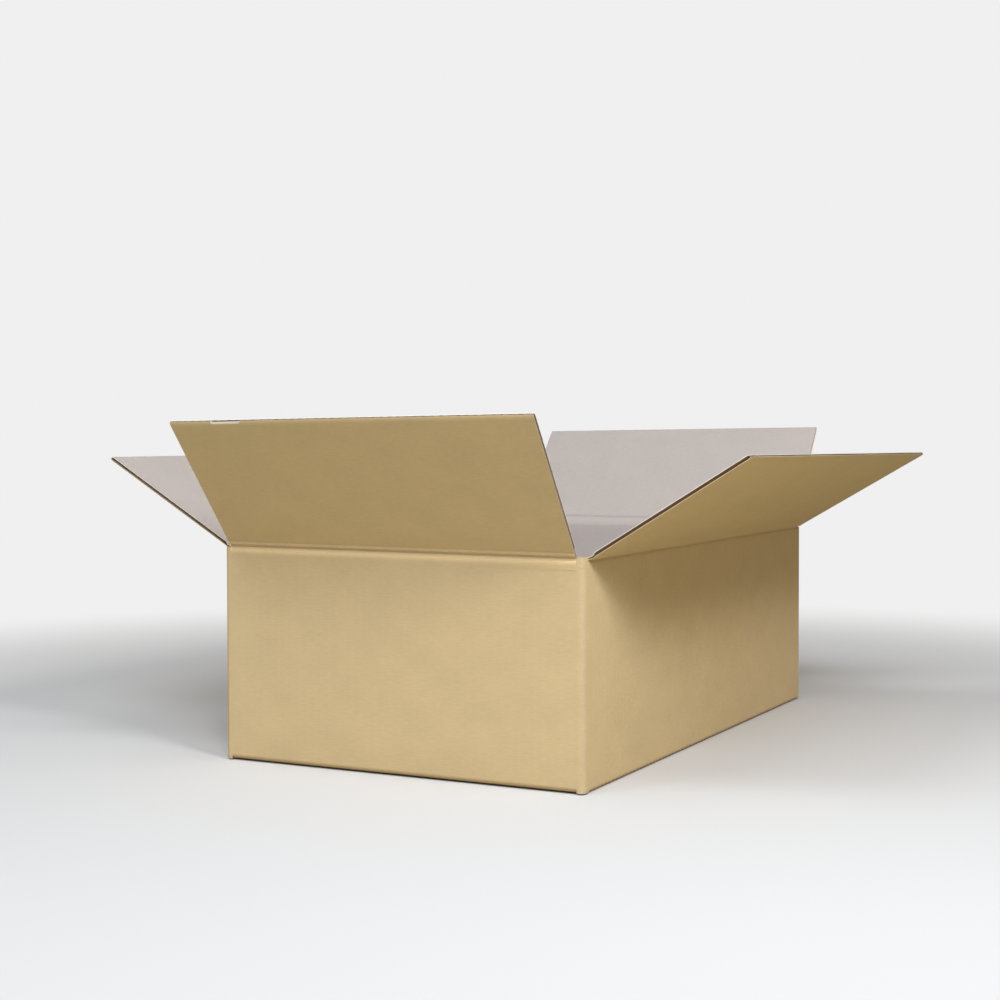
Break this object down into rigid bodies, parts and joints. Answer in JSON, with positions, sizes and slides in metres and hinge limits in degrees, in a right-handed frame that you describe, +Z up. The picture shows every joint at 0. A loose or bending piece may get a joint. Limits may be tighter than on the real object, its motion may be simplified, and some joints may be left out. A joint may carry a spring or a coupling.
{
  "type": "open cardboard box",
  "caption": "Erected corrugated carton, kraft outside and pale inside, glued shut below, with its top flaps swung outwards and its inside open for packing.",
  "frame": {"origin": "on the floor, under the middle of the carton", "axes": "+Z up out of the mouth, +Y along the long walls towards the back flap, +X towards the right flap"},
  "size_m": [0.5332, 0.637, 0.258],
  "materials": {
    "kraft_board": "matte kraft liner outside, pale bleached liner inside, single-wall corrugated"
  },
  "bodies": {
    "carton": {"carton_body": "kraft_board"},
    "front_flap": {"front_flap": "kraft_board"},
    "back_flap": {"back_flap": "kraft_board"},
    "left_flap": {"left_flap": "kraft_board"},
    "right_flap": {"right_flap": "kraft_board"}
  },
  "joints": [
    {"name": "front_crease", "type": "hinge", "parent": "carton", "child": "front_flap", "pos_m": [0, -0.2475, 0.162], "axis": [-1, 0, 0], "range_deg": [-133, 127]},
    {"name": "back_crease", "type": "hinge", "parent": "carton", "child": "back_flap", "pos_m": [0, 0.2475, 0.162], "axis": [1, 0, 0], "range_deg": [-133, 127]},
    {"name": "left_crease", "type": "hinge", "parent": "carton", "child": "left_flap", "pos_m": [-0.15, 0, 0.1652], "axis": [0, 1, 0], "range_deg": [-111, 149]},
    {"name": "right_crease", "type": "hinge", "parent": "carton", "child": "right_flap", "pos_m": [0.15, 0, 0.1652], "axis": [0, -1, 0], "range_deg": [-111, 149]}
  ]
}
